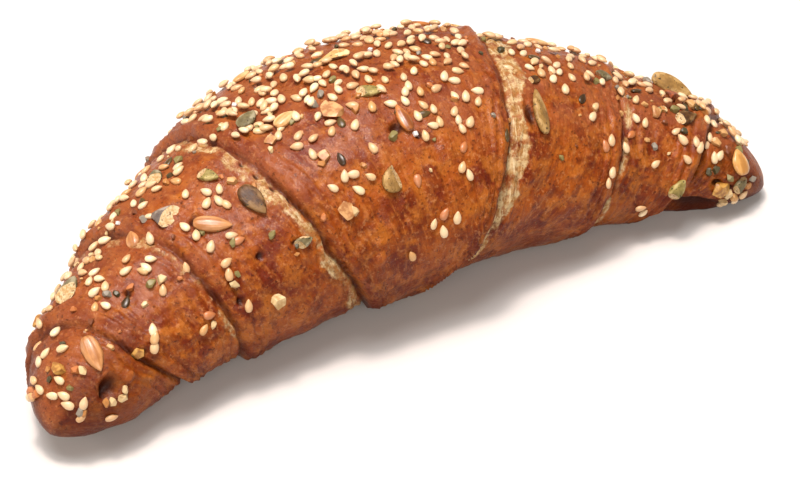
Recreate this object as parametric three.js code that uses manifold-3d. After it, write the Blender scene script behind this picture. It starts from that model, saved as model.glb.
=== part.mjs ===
// A seeded croissant: one baked roll of layered dough, with pumpkin seeds, sunflower kernels and
// nut pieces baked onto its crust.
//
// Millimetres, +Z up. The croissant lies on its flat base at z = 0, its tips point towards -Y, and
// the origin is under the middle of its overall box.
//
// A place on the crust is given by two values: `along`, millimetres along the curved middle line
// (negative to the left tip, positive to the right tip), and `around`, degrees about that line
// (0 = front, 90 = top, 180 = back, 270 = underneath).

import * as THREE from "three";
import { mergeVertices } from "three/addons/utils/BufferGeometryUtils.js";
import Module from "manifold-3d";

const wasm = await Module();
wasm.setup();

// ---------------------------------------------------------------- driving dimensions

const bendRadius = 166; // radius of the crescent's middle line
const bellyRadius = 28; // half height of the roll at its middle, before it is flattened
const bellyTaper = 1.45; // how quickly the roll narrows towards its tips
const bellySpread = 1.32; // width over height of the section at the middle
const tipSpread = 1.17; // the same near the tips
const baseFlattening = 0.12; // share of the radius lost to the flat base

// Each tip: length of the middle line on its side, radius, length of its rounded end, bluntness of
// that end, rise of the tip off the table, droop of its nose, and forward curl.
const tips = {
  left: { reach: 109, radius: 11.3, cap: 18, bluntness: 1.9, rise: 3.9, droop: 0.5, curl: -0.6 },
  right: { reach: 103.6, radius: 10.9, cap: 18, bluntness: 1.8, rise: -1, droop: 0.5, curl: 2.8 },
};

// Edges of the rolled layers. Each crosses the top at `along`, runs `drift` towards the middle by
// the time it reaches the front, and steps down by `height` towards the tip.
const layerEdges = [
  { along: -90, drift: 7, height: 3 },
  { along: -66, drift: 3.5, height: 2.4 },
  { along: -38, drift: 8.5, height: 3 },
  { along: 31, drift: 17, height: 3 },
  { along: 64, drift: 7, height: 2.4 },
  { along: 88, drift: 8, height: 4 },
];
const edgeRounding = 1.8; // half width of the step at a layer's edge
const lipShare = 0.35; // part of the step that stands proud of the roll, at the layer's lip
const lipLength = 12; // over which a layer swells up to its lip
const hollowShare = 0.65; // part of the step that sinks into the roll, in the hollow past the lip
const hollowLength = 15; // over which the next layer rises out of the hollow
const backDrift = 8; // outward run of the edges from the top to the back
const baseBlend = [-70, -45]; // between these places the steps grow out of the flat base

const sectionsAlong = 92;
const sectionsAround = 40;
const evenness = 0.6; // 1 spaces the sections evenly along the roll, 0 crowds them into the tips
const seedGap = 0.3; // clearance between a seed and the dough around it

// Middle of the overall box, from the middle of the roll's base.
const boxCentre = new THREE.Vector3(-2.46, -0.69, 0);

// Seeds and nut pieces, one row each:
// along, around, turn of the long axis from the roll's own direction, length, width, thickness,
// lean, the tilt about the long axis, and pitch, the dip of its far end.
const pumpkinSeeds = [
  [-84, 125, 10, 8.5, 6.5, 3.2, 0],
  [-61, 92, -25, 8.6, 7.2, 2.2, 0],
  [-45, 65, 90, 9, 6.2, 2.4, 0],
  [-53, 118, 50, 5.6, 4.8, 2.6, 0],
  [-48, 90, -70, 5.8, 4, 2.4, 0],
  [-32, 98, 20, 6.4, 5.6, 3, 0],
  [-4, 108, -15, 9, 8, 2.4, 0],
  [-5, 79, -20, 7, 4, 2.4, 0],
  [-12, 41, 60, 6.6, 6.2, 2.8, 0],
  [31, 138, 10, 7, 4, 2.4, 0],
  [39, 57, 88, 12.6, 6.4, 2.4, 35],
  [41, 77, 20, 4, 2.8, 2, 0],
  [62, 98, 10, 5, 4, 2.4, 0],
  [80, 124, -6, 12, 6.6, 2.4, 70, 16],
  [82, 76, 30, 6, 5, 2.8, 0],
  [79, 10, 60, 6, 4.6, 2.6, 0],
  [97, 12, 70, 5, 4, 2.4, 0],
  [-41, 34, -10, 4.8, 3.4, 2.2, 0],
  [-70, 182, 30, 8, 6, 2.4, 0],
  [8, 160, 25, 12, 6.6, 2.4, 0],
  [72, 168, 50, 8.4, 6, 2.4, 0],
];

const sunflowerKernels = [
  [-96, 70, 60, 9, 5.4, 3, 0],
  [-56, 69, -50, 9.2, 4.8, 3, 0],
  [-68, 103, 30, 5.4, 4.4, 2.6, 0],
  [-26, 87, 10, 6, 4.4, 2.6, 0],
  [-1, 63, 90, 8, 3.8, 2.6, 0],
  [22, 135, 0, 8, 4, 3, 0],
  [49, 131, 5, 7, 3.6, 2.6, 0],
  [69, 137, 0, 6.4, 3.6, 2.4, 0],
  [96, 50, -60, 7, 6.2, 3.4, 0],
  [-21, 131, 15, 6, 3.8, 2.2, 0],
  [-42, 178, 10, 8.6, 4.6, 2.8, 0],
  [40, 162, -30, 8.4, 4.4, 2.8, 0],
  [22, 186, 70, 8.2, 4.4, 2.8, 0],
];

const nutPieces = [
  [-16, 78, -54, 7, 5.2, 2.6, 0],
  [12, 141, 0, 4.6, 3.6, 3, 0],
  [79, 101, 70, 5, 4, 3.6, 0],
  [92, 2, 20, 6.8, 5, 3.2, 0],
  [-53, 12, 15, 4.6, 4.2, 2.4, 0],
  [-28, 38, 80, 5.2, 4.2, 2.4, 0],
  [-32, 82, 10, 4, 2.8, 2.2, 0],
  [-25, 62, 0, 3.8, 3.4, 2.2, 0],
  [74, 74, 80, 4.4, 3, 2.4, 0],
  [-88, 38, 20, 3.8, 3.2, 2.4, 0],
  [-101.5, 94, 60, 4.2, 3, 3, 0],
  [-15, 168, 20, 5, 4.2, 2.8, 0],
  [57, 158, 60, 4.6, 4, 2.6, 0],
  [-88, 166, 0, 4.4, 4, 2.8, 0],
];

// ---------------------------------------------------------------- materials

const crust = new THREE.MeshStandardMaterial({ color: "#9c4a1f", roughness: 0.38, metalness: 0 });
const pumpkinGreen = new THREE.MeshStandardMaterial({ color: "#8a8355", roughness: 0.55, metalness: 0 });
const kernelCream = new THREE.MeshStandardMaterial({ color: "#c8915a", roughness: 0.5, metalness: 0 });
const nutTan = new THREE.MeshStandardMaterial({ color: "#c79a5e", roughness: 0.65, metalness: 0 });

// ---------------------------------------------------------------- the dough

const radians = THREE.MathUtils.degToRad;
const { smoothstep } = THREE.MathUtils;

// How far one layer's edge raises (+) or sinks (-) the crust at a place.
function layerStep(edge, along, around) {
  const side = Math.sign(edge.along);
  const towardsFront = Math.max(0, (90 - around) / 90);
  const towardsBack = Math.max(0, (around - 90) / 90);
  const drift = backDrift * towardsBack ** 1.5 - edge.drift * towardsFront ** 2;
  const beyond = side * (along - edge.along) - drift;
  const lip = lipShare * Math.exp(Math.min(beyond, 0) / lipLength);
  const hollow = hollowShare * Math.exp(-Math.max(beyond, 0) / hollowLength);
  const past = smoothstep(beyond, -edgeRounding, edgeRounding);
  const fromBottom = 90 - Math.abs(around - 90);
  const aboveBase = smoothstep(fromBottom, ...baseBlend);
  return aboveBase * edge.height * (lip * (1 - past) - hollow * past);
}

// The point of the crust at a place, moved out by `grow`. `around` runs from -90 to 270.
function crustPoint(along, around, grow = 0) {
  const tip = along < 0 ? tips.left : tips.right;
  const share = Math.min(Math.abs(along) / tip.reach, 1);
  const taper = Math.cos((Math.PI / 2) * share) ** bellyTaper;
  const radius = tip.radius + (bellyRadius - tip.radius) * taper;
  const intoCap = Math.max(0, (Math.abs(along) - (tip.reach - tip.cap)) / tip.cap);
  const capScale = Math.max(0, 1 - Math.min(intoCap, 1) ** tip.bluntness) ** (1 / tip.bluntness);
  const spread = bellySpread + (tipSpread - bellySpread) * share ** 2;
  const steps = layerEdges.reduce((sum, edge) => sum + layerStep(edge, along, around), 0);
  const reach = (radius + steps) * capScale + grow;

  const droop = 1 - tip.droop * (1 - capScale);
  const centreHeight = (1 - baseFlattening) * radius * droop + tip.rise * share ** 3;
  const height = Math.max(centreHeight + reach * Math.sin(radians(around)), -grow);
  const sideways = -reach * spread * Math.cos(radians(around));
  const turn = along / bendRadius;
  return new THREE.Vector3(
    (bendRadius + sideways) * Math.sin(turn),
    (bendRadius + sideways) * Math.cos(turn) - bendRadius - tip.curl * share ** 5,
    height,
  ).sub(boxCentre);
}

// A sphere whose poles are the two tips, drawn out onto the crust. Its sections lie closer together
// towards the tips.
function doughGeometry(grow = 0) {
  const sphere = new THREE.SphereGeometry(1, sectionsAround, sectionsAlong);
  const position = sphere.getAttribute("position");
  const uv = sphere.getAttribute("uv");
  for (let i = 0; i < position.count; i += 1) {
    const fromLeft = uv.getY(i);
    const share = THREE.MathUtils.lerp(-Math.cos(Math.PI * fromLeft), 2 * fromLeft - 1, evenness);
    const along = share * (share < 0 ? tips.left.reach : tips.right.reach);
    const atPole = Math.abs(position.getY(i)) > 1 - 1e-9;
    const angle = atPole ? 90 : THREE.MathUtils.radToDeg(Math.atan2(position.getZ(i), position.getX(i)));
    const around = THREE.MathUtils.euclideanModulo(angle + 90, 360) - 90;
    const point = crustPoint(along, around, grow);
    position.setXYZ(i, point.x, point.y, point.z);
  }
  return sphere;
}

// ---------------------------------------------------------------- solids

// A closed solid from a geometry, through its positions alone.
function solidOf(geometry) {
  const bare = new THREE.BufferGeometry();
  bare.setAttribute("position", geometry.getAttribute("position"));
  bare.setIndex(geometry.getIndex());
  const merged = mergeVertices(bare, 1e-4);
  return new wasm.Manifold(
    new wasm.Mesh({
      numProp: 3,
      vertProperties: new Float32Array(merged.getAttribute("position").array),
      triVerts: new Uint32Array(merged.getIndex().array),
    }),
  );
}

function geometryOf(solid) {
  const mesh = solid.getMesh();
  const geometry = new THREE.BufferGeometry();
  geometry.setAttribute("position", new THREE.BufferAttribute(mesh.vertProperties, mesh.numProp));
  geometry.setIndex(new THREE.BufferAttribute(mesh.triVerts, 1));
  geometry.computeVertexNormals();
  return geometry;
}

// The frame of the crust at a place: x along the roll, y around it, z out of the crust.
function crustFrame(along, around) {
  const nearby = 1.5;
  const alongRoll = crustPoint(along + nearby, around).sub(crustPoint(along - nearby, around)).normalize();
  const aroundRoll = crustPoint(along, around + nearby).sub(crustPoint(along, around - nearby));
  const outwards = alongRoll.clone().cross(aroundRoll).normalize();
  const across = outwards.clone().cross(alongRoll);
  return new THREE.Matrix4().makeBasis(alongRoll, across, outwards).setPosition(crustPoint(along, around));
}

// A flattened drop: full and round at one end, drawn to a point at the other.
function dropGeometry(length, width, thickness, pointedness) {
  const drop = new THREE.SphereGeometry(1, 8, 6);
  drop.rotateZ(-Math.PI / 2);
  const position = drop.getAttribute("position");
  for (let i = 0; i < position.count; i += 1) {
    const x = position.getX(i);
    const narrowing = 1 - pointedness * (0.5 + 0.5 * x);
    position.setXYZ(
      i,
      (x * length) / 2,
      (position.getY(i) * narrowing * width) / 2,
      (position.getZ(i) * thickness) / 2,
    );
  }
  return drop;
}

function nutGeometry(length, width, thickness) {
  return new THREE.DodecahedronGeometry(1).scale(length / 2, width / 2, thickness / 2);
}

// Beds one seed into the crust with its middle `proud` of it, and cuts away what would lie inside
// the dough.
function bedSeed(geometry, [along, around, turn, , , , lean, pitch = 0], proud) {
  const place = crustFrame(along, around)
    .multiply(new THREE.Matrix4().makeTranslation(0, 0, proud))
    .multiply(new THREE.Matrix4().makeRotationZ(radians(turn)))
    .multiply(new THREE.Matrix4().makeRotationY(radians(pitch)))
    .multiply(new THREE.Matrix4().makeRotationX(radians(lean)));
  const whole = solidOf(geometry.applyMatrix4(place));
  const pieces = whole.subtract(doughWithGap).decompose();
  const largest = pieces.reduce((best, piece) => (piece.volume() > best.volume() ? piece : best));
  return geometryOf(largest);
}

const doughWithGap = solidOf(doughGeometry(seedGap));

// ---------------------------------------------------------------- the croissant

const croissant = new THREE.Group();

function addMesh(name, geometry, material) {
  const mesh = new THREE.Mesh(geometry, material);
  mesh.name = name;
  croissant.add(mesh);
}

function addSeeds(name, rows, material, makeGeometry) {
  rows.forEach((row, index) => {
    const [, , , length, width, thickness, lean] = row;
    const proud = Math.max((Math.sin(radians(lean)) * width) / 4, thickness * 0.1);
    const geometry = bedSeed(makeGeometry(length, width, thickness), row, proud);
    addMesh(`${name}_${String(index + 1).padStart(2, "0")}`, geometry, material);
  });
}

addMesh("baked_dough", doughGeometry(), crust);
addSeeds("pumpkin_seed", pumpkinSeeds, pumpkinGreen, (l, w, t) => dropGeometry(l, w, t, 0.3));
addSeeds("sunflower_kernel", sunflowerKernels, kernelCream, (l, w, t) => dropGeometry(l, w, t, 0.55));
addSeeds("nut_piece", nutPieces, nutTan, nutGeometry);

export default croissant;
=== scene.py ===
import math
import random

import bmesh
import bpy
import numpy as np
from mathutils import Matrix, Vector, noise


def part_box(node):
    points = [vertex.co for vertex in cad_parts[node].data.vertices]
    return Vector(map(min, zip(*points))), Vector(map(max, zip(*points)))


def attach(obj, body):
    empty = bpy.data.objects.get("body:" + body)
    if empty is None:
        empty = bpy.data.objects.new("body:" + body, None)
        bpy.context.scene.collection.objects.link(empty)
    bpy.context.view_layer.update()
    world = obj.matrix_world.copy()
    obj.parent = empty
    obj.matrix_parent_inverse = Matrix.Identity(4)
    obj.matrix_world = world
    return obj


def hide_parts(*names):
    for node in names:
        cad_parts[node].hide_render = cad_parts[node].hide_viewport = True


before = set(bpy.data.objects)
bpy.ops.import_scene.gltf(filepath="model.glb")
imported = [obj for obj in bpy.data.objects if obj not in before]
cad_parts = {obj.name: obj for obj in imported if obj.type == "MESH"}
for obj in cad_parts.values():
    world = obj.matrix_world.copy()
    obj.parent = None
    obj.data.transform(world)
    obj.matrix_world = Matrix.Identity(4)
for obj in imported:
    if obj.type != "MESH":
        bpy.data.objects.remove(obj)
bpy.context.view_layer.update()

# ---------------------------------------------------------------- the baked dough
# The croissant itself: a triangle of laminated dough rolled up from its wide end, bent to a crescent,
# dipped in lye and egg washed, then baked in one piece. The layers' edges step down towards the tips,
# and past each edge the dough underneath was stretched open in the oven, so it stayed pale.

MM = 0.001

BEND_RADIUS = 166  # all sizes of the roll in mm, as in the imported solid
BELLY_RADIUS = 28
BELLY_TAPER = 1.45
BELLY_SPREAD = 1.32
TIP_SPREAD = 1.17
BASE_FLATTENING = 0.12
GIRTH_SHARE = 1.15  # the spread roll's girth over that of a round one
LEFT_TIP = {
    "reach": 109, "radius": 11.3, "cap": 18, "bluntness": 1.9, "rise": 3.9, "droop": 0.5, "curl": -0.6,
}
RIGHT_TIP = {
    "reach": 103.6, "radius": 10.9, "cap": 18, "bluntness": 1.8, "rise": -1, "droop": 0.5, "curl": 2.8,
}
BOX_CENTRE = Vector((-2.46, -0.69, 0))

# Each edge: where it crosses the top, its run towards the middle at the front, its step down in the
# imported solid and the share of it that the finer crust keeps, the width of the stretched band beyond
# it in mm, and how pale the band stayed.
LAYER_EDGES = [
    {"along": -90, "drift": 7, "height": 3, "kept": 0.65, "band": 2.2, "pale": 0.3},
    {"along": -66, "drift": 3.5, "height": 2.4, "kept": 0.75, "band": 3.4, "pale": 0.5},
    {"along": -38, "drift": 8.5, "height": 3, "kept": 0.85, "band": 4.8, "pale": 0.64},
    {"along": 31, "drift": 17, "height": 3, "kept": 0.67, "band": 6.6, "pale": 0.86},
    {"along": 64, "drift": 7, "height": 2.4, "kept": 0.62, "band": 2.8, "pale": 0.62},
    {"along": 88, "drift": 8, "height": 4, "kept": 0.9, "band": 1.5, "pale": 0.4},
]
EDGE_ROUNDING, PACKED_ROUNDING = 1.5, 1.8  # half an edge's slope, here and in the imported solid
EDGE_FELT, EDGE_CREASED = (-45, 60), 14  # how far from an edge the roll swells, and the skin creases
LIP_SHARE, LIP_LENGTH = 0.35, 12
HOLLOW_SHARE, HOLLOW_LENGTH = 0.65, 15
BACK_DRIFT = 8
BASE_BLEND = (-70, -45)
LIP_OVERHANG = 0.6  # how far a lip leans out over the groove under it
GROOVE_DEPTH, GROOVE_WIDTH = 0.8, 1.0
FOLD_HEIGHT, FOLD_PITCH, FOLD_REACH = 0.38, 2.3, 7  # the skin's creases beside a lip

# Holes and dents: along, around, radius along, radius around, depth. The crust's colour darkens them
# as painted shade.
HOLLOWS = [
    (-98.5, 34, 3.2, 4.2, 3.0), (-100.2, 28, 1.6, 2.0, 1.6), (-88, 37, 2.2, 2.0, 1.4),
    (-36, 97, 1.6, 1.3, 2.0), (-4, 60, 3.2, 2.4, 1.5), (1, 54, 1.6, 1.4, 1.4), (36, 56, 2.0, 5.0, 1.6),
    (28, 116, 2.2, 1.4, 1.6), (84, 88, 3.0, 2.6, 1.2), (-58, 78, 2.2, 1.8, 1.2),
    (-43, 36, 1.0, 1.0, 0.9), (-40.5, 84, 0.9, 1.3, 0.8), (-40.3, 74, 1.0, 1.5, 0.9),
    (-39.6, 64, 0.9, 1.8, 0.9), (-38.4, 55, 0.8, 1.2, 0.8), (-80, 79, 1.3, 1.4, 1.1),
    (-52, 40, 1.8, 1.6, 1.1), (-62, 24, 1.4, 1.8, 1.0), (90.5, 11, 2.2, 2.2, 1.4),
    (94, 4, 1.8, 2.0, 1.2), (85, -33, 9.5, 6.5, 2.8),
]
# Skin blisters: along, around, radius, height.
BLISTERS = [
    (-94.5, 30, 1.9, 0.7), (-23, 9, 2.6, 0.7), (-46, 74, 3.0, 0.4), (-85, 45, 1.8, 0.4),
    (52, 35, 1.4, 0.35), (46, 22, 1.0, 0.3),
]
BLISTER_COUNT = 150

# The layers' run at the front, at each edge and at the ends of the plain middle.
DRIFTS = np.array([(edge["along"], edge["drift"]) for edge in LAYER_EDGES[:3]] + [(-5, 0), (5, 0)]
                  + [(edge["along"], edge["drift"]) for edge in LAYER_EDGES[3:]]).T
# Uneven skin: pitch and height in mm, and its place in the noise. A wrinkle has two pitches, across
# and along itself.
SWELLS = [(17, 0.85, 5), (6, 0.45, 9)]
SKIN_GRAIN = [(2.6, 0.26, 4), (1.4, 0.16, 2)]
WRINKLES = [(4.0, 16, 0.3, 2.2), (1.4, 7, 0.1, 6.4)]
SECTIONS_AROUND, SECTIONS_ALONG = 280, 350
EVENNESS = 0.6  # 1 spaces the sections evenly along the roll, 0 crowds them to the tips
FRONT_TOP = 70  # the middle of the side that is meshed most finely, in degrees around
FRONT_CROWDING = 0.35


def smoothstep(value, low, high):
    share = min(max((value - low) / (high - low), 0), 1)
    return share * share * (3 - 2 * share)


def noise_at(x, y, z=0.0):
    return noise.noise((x, y, z))


def ripple(point, waves):
    """How high the crust swells at a point, from waves of noise of the given pitches and heights."""
    return sum(
        height * noise_at(point.x / pitch, point.y / pitch, point.z / pitch + shift)
        for pitch, height, shift in waves
    )


def wrapped(around):
    """A turn around the roll, from -90 to 270 degrees: 0 is its front, 90 its top."""
    return (around + 90) % 360 - 90


def roll_section(along):
    """Radius, height of the middle line, spread and forward curl of the plain roll at a place along it."""
    tip = LEFT_TIP if along < 0 else RIGHT_TIP
    share = min(abs(along) / tip["reach"], 1)
    taper = max(math.cos(math.pi / 2 * share), 0) ** BELLY_TAPER
    radius = tip["radius"] + (BELLY_RADIUS - tip["radius"]) * taper
    into_cap = min(max((abs(along) - (tip["reach"] - tip["cap"])) / tip["cap"], 0), 1)
    cap = max(1 - into_cap ** tip["bluntness"], 0) ** (1 / tip["bluntness"])
    spread = BELLY_SPREAD + (TIP_SPREAD - BELLY_SPREAD) * share**2
    height = (1 - BASE_FLATTENING) * radius * (1 - tip["droop"] * (1 - cap)) + tip["rise"] * share**3
    return radius, cap, height, spread, tip["curl"] * share**5


def beyond_edge(edge, along, around, wander=0.0):
    """Distance in mm past a layer's edge, towards the tip."""
    side = math.copysign(1, edge["along"])
    to_front, to_back = max(0, (90 - around) / 90), max(0, (around - 90) / 90)
    drift = BACK_DRIFT * to_back**1.5 - edge["drift"] * to_front**2
    return side * (along - edge["along"]) - drift + wander


def edge_step(beyond, rounding):
    """The crust's height by an edge, as a share of the step: up to the lip, then down past it."""
    lip = LIP_SHARE * math.exp(min(beyond, 0) / LIP_LENGTH)
    hollow = HOLLOW_SHARE * math.exp(-max(beyond, 0) / HOLLOW_LENGTH)
    past = smoothstep(beyond, -rounding, rounding)
    return lip * (1 - past) - hollow * past


def layer_steps(along, around):
    """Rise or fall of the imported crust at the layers' edges, in mm."""
    above_base = smoothstep(90 - abs(around - 90), *BASE_BLEND)
    total = 0
    for edge in LAYER_EDGES:
        total += edge["height"] * edge_step(beyond_edge(edge, along, around), PACKED_ROUNDING)
    return above_base * total


def roll_point(along, around, steps, push=0.0):
    """A point of the roll in mm, with its crust raised by `steps` and slid along the roll by `push`."""
    radius, cap, height, spread, curl = roll_section(along)
    reach = (radius + steps) * cap
    angle = math.radians(around)
    z = max(height + reach * math.sin(angle), 0)
    sideways = -reach * spread * math.cos(angle)
    turn = (along + push * cap) / BEND_RADIUS
    x = (BEND_RADIUS + sideways) * math.sin(turn)
    y = (BEND_RADIUS + sideways) * math.cos(turn) - BEND_RADIUS - curl
    return Vector((x, y, z)) - BOX_CENTRE


def solid_point(along, around):
    """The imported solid's own surface, without the fine shapes that only the visual model has."""
    around = wrapped(around)
    return roll_point(along, around, layer_steps(along, around))


def near(along, around, spot_along, spot_around, radius_along, radius_around):
    """1 at a spot on the crust, falling to 0 at its rim."""
    section = roll_section(spot_along)[0]
    across = math.radians((around - spot_around + 180) % 360 - 180) * section * GIRTH_SHARE
    distance = ((along - spot_along) / radius_along) ** 2 + (across / radius_around) ** 2
    return max(0.0, 1 - distance) ** 2 if distance < 1 else 0.0


blister_draw = random.Random(11)
for _ in range(BLISTER_COUNT):
    BLISTERS.append((
        blister_draw.uniform(-100, 98),
        blister_draw.uniform(-35, 200),
        blister_draw.uniform(0.5, 1.3),
        blister_draw.uniform(0.1, 0.3),
    ))

SPOT_BIN = 6  # spots are looked up by their place along the roll, in bins of this many mm
spots_near = {}
for kind, spots in (("blister", BLISTERS), ("hollow", HOLLOWS)):
    for spot in spots:
        first, last = (int((spot[0] + side * spot[2]) // SPOT_BIN) for side in (-1, 1))
        for bin_number in range(first, last + 1):
            spots_near.setdefault(bin_number, []).append((kind, spot))


def crust(along, around):
    """The baked crust at a place: its point in mm, and what the finish needs to know about it."""
    around = wrapped(around)
    section = roll_section(along)[0]
    arc = math.radians(around) * section * GIRTH_SHARE
    plain = roll_point(along, around, 0)

    wander = 1.5 * noise_at(arc / 16, along / 30, 3.7) + 0.5 * noise_at(arc / 4, along / 12, 8.1)
    above_base = smoothstep(90 - abs(around - 90), *BASE_BLEND)
    open_share = 0.5 + 0.5 * smoothstep(abs(around - 90), 5, 50)
    steps = push = band = groove_shade = 0.0
    for edge in LAYER_EDGES:
        side = math.copysign(1, edge["along"])
        beyond = beyond_edge(edge, along, around, wander)
        if not EDGE_FELT[0] < beyond < EDGE_FELT[1]:
            continue
        height = edge["height"] * edge["kept"]
        steps += height * edge_step(beyond, EDGE_ROUNDING) * (0.4 + 0.6 * open_share)
        if abs(beyond) > EDGE_CREASED:
            continue
        depth = height / 3 * (1 + 0.5 * noise_at(arc / 11, edge["along"], 4.4)) * open_share
        push += side * LIP_OVERHANG * depth * math.exp(-((beyond + 0.6) / 1.1) ** 2)
        push -= side * 0.7 * LIP_OVERHANG * depth * math.exp(-((beyond - 1.4) / 0.9) ** 2)
        cut = math.exp(-((beyond - GROOVE_WIDTH) / GROOVE_WIDTH) ** 2)
        steps -= GROOVE_DEPTH * depth * cut
        folds = math.sin(math.tau * (beyond / FOLD_PITCH + 0.8 * noise_at(arc / 9, beyond / 6, 2.6)))
        steps += FOLD_HEIGHT * folds * math.exp(-((beyond / FOLD_REACH) ** 2))
        # This mark paints shade into the groove under the lip.
        groove_shade = max(groove_shade, cut * min(depth * 1.6, 1))
        ragged = edge["band"] * (1 + 0.5 * noise_at(arc / 6, edge["along"], 1.3))
        inner = smoothstep(beyond, 0.7, 1.9)
        band = max(band, edge["pale"] * inner * (1 - smoothstep(beyond, ragged - 0.8, ragged + 1.8)))
    steps *= above_base
    band *= above_base
    groove_shade *= above_base
    front = max(0, (90 - around) / 90) ** 2
    drift = np.interp(along, *DRIFTS)
    layer = along + math.copysign(front * drift, along)

    swell = ripple(plain, SWELLS)
    wrinkle = sum(
        height * noise_at(layer / across, arc / length, shift)
        for across, length, height, shift in WRINKLES
    )
    skin = ripple(plain, SKIN_GRAIN)
    low = smoothstep(-math.sin(math.radians(around)), 0, 0.5)
    relief = swell + (wrinkle + skin) * (1 - 0.6 * low)
    if band > 0.02:
        relief += band * (0.4 * noise_at(plain.x / 1.6, plain.y / 1.6, plain.z / 1.6) - 0.15)

    found = {"blister": 0.0, "hollow": 0.0}
    for kind, (spot_along, spot_around, size_along, *rest) in spots_near.get(int(along // SPOT_BIN), []):
        if abs(along - spot_along) < size_along:
            size_around = rest[0] if kind == "hollow" else size_along
            share = near(along, around, spot_along, spot_around, size_along, size_around)
            found[kind] = max(found[kind], share)
            relief += -rest[1] * share if kind == "hollow" else rest[0] * math.sqrt(share)
    point = roll_point(along, around, steps + relief, push)
    # Darker at the tips, which baked darker, and on the lower side, partly the bottom's baking and partly
    # painted shade; under the right tip, in its hollow, this is painted shade.
    bake_and_shade = smoothstep(abs(along), 80, 104) * smoothstep(abs(around - 100), 10, 70)
    bake_and_shade = max(bake_and_shade, 0.6 * smoothstep(-math.sin(math.radians(around)), -0.15, 0.7))
    bake_and_shade = max(bake_and_shade, 1.5 * smoothstep(along, 74, 84) * smoothstep(-around, 6, 26))
    return point, {
        "band": band, "groove_shade": groove_shade, "layer": layer, "arc": arc, **found,
        # Marks for the colour: darker baking at the tips with painted shade on the lower side and under
        # the right tip, then painted pinkish sheen over the upper front, and over the top and back.
        "bake_and_shade": 0.6 * bake_and_shade,
        "painted_front_sheen": 0.72 * smoothstep(around, 38, 66) * smoothstep(-around, -125, -85),
        "painted_top_sheen": 0.75 * smoothstep(around, 90, 125),
    }


CRUST_MARKS = ("band", "groove_shade", "blister", "hollow", "bake_and_shade", "painted_front_sheen", "painted_top_sheen")


def make_piece(bm, name):
    """Makes a finished mesh an object of the scene, at the origin."""
    mesh = bpy.data.meshes.new(name)
    bm.to_mesh(mesh)
    bm.free()
    piece = bpy.data.objects.new(name, mesh)
    bpy.context.scene.collection.objects.link(piece)
    return piece


def build_dough():
    """A flat grid rolled into the dough: its rows run along the croissant and its two long sides meet
    underneath. The grid's own coordinates stay as the unwrap."""
    bm = bmesh.new()
    bmesh.ops.create_grid(bm, x_segments=SECTIONS_ALONG, y_segments=SECTIONS_AROUND, size=0.5)
    marks = {name: bm.verts.layers.float.new(name) for name in CRUST_MARKS}
    place = bm.verts.layers.float_vector.new("layer_place")
    unwrap = bm.loops.layers.uv.new("OFBake")
    for face in bm.faces:
        face.smooth = True
        for loop in face.loops:
            loop[unwrap].uv = (loop.vert.co.x + 0.5, loop.vert.co.y + 0.5)
    for vert in bm.verts:
        share, turn = 2 * vert.co.x, 360 * vert.co.y
        share = EVENNESS * share + (1 - EVENNESS) * math.sin(math.pi / 2 * share)
        along = share * (LEFT_TIP if share < 0 else RIGHT_TIP)["reach"]
        around = FRONT_TOP + turn - math.degrees(FRONT_CROWDING * math.sin(math.radians(turn)))
        point, facts = crust(along, around)
        vert.co = point * MM
        for name, mark in marks.items():
            vert[mark] = facts[name]
        vert[place] = (facts["layer"] * MM, facts["arc"] * MM, 0)
    bmesh.ops.remove_doubles(bm, verts=bm.verts, dist=0.001 * MM)
    bmesh.ops.recalc_face_normals(bm, faces=bm.faces)
    return make_piece(bm, "baked_crust")


def srgb(hex_code, alpha=1.0):
    """A colour written as sRGB hex, as the linear values that Blender's sockets hold."""
    channels = [int(hex_code[i:i + 2], 16) / 255 for i in (1, 3, 5)]
    return [c / 12.92 if c <= 0.04045 else ((c + 0.055) / 1.055) ** 2.4 for c in channels] + [alpha]


def add_node(tree, kind, inputs, **settings):
    """Adds a node with its settings, and its inputs set to values or linked to other nodes' outputs."""
    node = tree.nodes.new(kind)
    for name, value in settings.items():
        setattr(node, name, value)
    for name, value in inputs.items():
        if isinstance(value, bpy.types.NodeSocket):
            tree.links.new(value, node.inputs[name])
        else:
            node.inputs[name].default_value = value
    return node


def new_material(name):
    material = bpy.data.materials.new(name)
    material.use_nodes = True
    tree = material.node_tree
    tree.nodes.clear()
    return material, tree


MIX_FACTOR, MIX_A, MIX_B, MIX_RESULT = 0, 6, 7, 2  # the colour sockets of a Mix node


def lay_tones(tree, colour, tones, roughness=0.5):
    """Lays patches of noise over a colour, one over the other. Each has what it is drawn on, its size
    in mm (one, or along each axis), its detail, where the noise starts and is full, how strong it is
    (a number or a mark of the crust), and its colour."""
    for source, size, detail, low, high, strength, tone in tones:
        sizes = size if isinstance(size, tuple) else (size, size, size)
        scaled = add_node(tree, "ShaderNodeMapping", {
            "Vector": source, "Scale": [1 / (mm * MM) for mm in sizes],
        })
        patches = add_node(tree, "ShaderNodeTexNoise", {
            "Vector": scaled.outputs["Vector"], "Scale": 1, "Detail": detail, "Roughness": roughness,
        })
        amount = add_node(tree, "ShaderNodeMapRange", {
            "Value": patches.outputs["Fac"], "From Min": low, "From Max": high, "To Max": strength,
        }, interpolation_type="SMOOTHSTEP")
        colour = add_node(tree, "ShaderNodeMix", {
            MIX_FACTOR: amount.outputs["Result"], MIX_A: colour, MIX_B: srgb(tone),
        }, data_type="RGBA").outputs[MIX_RESULT]
    return colour


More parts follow.
